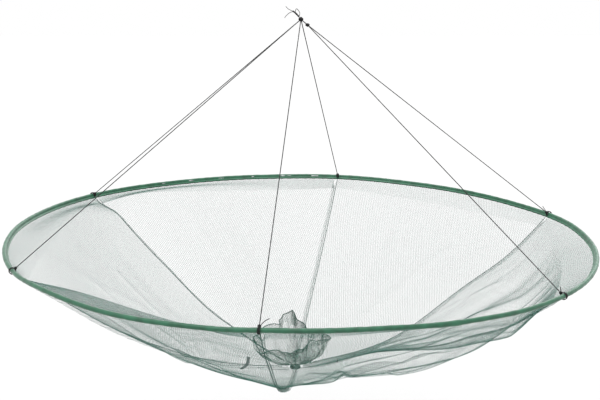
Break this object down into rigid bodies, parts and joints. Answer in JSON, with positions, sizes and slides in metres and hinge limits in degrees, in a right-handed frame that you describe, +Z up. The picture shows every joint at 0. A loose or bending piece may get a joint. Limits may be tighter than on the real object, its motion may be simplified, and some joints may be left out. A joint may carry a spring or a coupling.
{
  "type": "round lift net with its hoop",
  "caption": "Round fine-mesh lift net sewn to a cloth-covered spring hoop, with a bait pouch in its middle, hanging from bridle cords that meet in one knot",
  "frame": {"origin": "top of the hang knot, from which the whole net hangs", "axes": "+Z up through the hang knot, +X right and +Y back as the net is seen; the hoop lies below, nearly level"},
  "size_m": [0.8064, 0.8063, 0.5078],
  "materials": {
    "casing_cloth": "plain woven green cloth, slight sheen",
    "net_mesh": "fine dark green nylon mesh, see-through",
    "cord_black": "thin black twisted cord, matt",
    "spring_steel": "drawn spring wire, hidden in the casing"
  },
  "bodies": {
    "root": {"bait_pouch": "net_mesh", "centre_gather": "net_mesh", "cord_back": "cord_black", "cord_back_left": "cord_black", "cord_back_right": "cord_black", "cord_front": "cord_black", "cord_front_left": "cord_black", "cord_front_right": "cord_black", "cord_link": "cord_black", "hang_knot": "cord_black", "hoop_casing": "casing_cloth", "joining_knot": "cord_black", "panel_back_left": "net_mesh", "panel_back_right": "net_mesh", "panel_front_left": "net_mesh", "panel_front_right": "net_mesh", "panel_left": "net_mesh", "panel_right": "net_mesh", "spring_hoop": "spring_steel", "tail_back_right": "cord_black", "tail_front": "cord_black", "tail_front_right": "cord_black", "tail_hang_curl": "cord_black", "tail_hang_thick": "cord_black", "tape_tail": "net_mesh", "thread_end": "cord_black", "tie_back": "cord_black", "tie_back_left": "cord_black", "tie_back_right": "cord_black", "tie_front": "cord_black", "tie_front_left": "cord_black", "tie_front_right": "cord_black"}
  },
  "joints": []
}
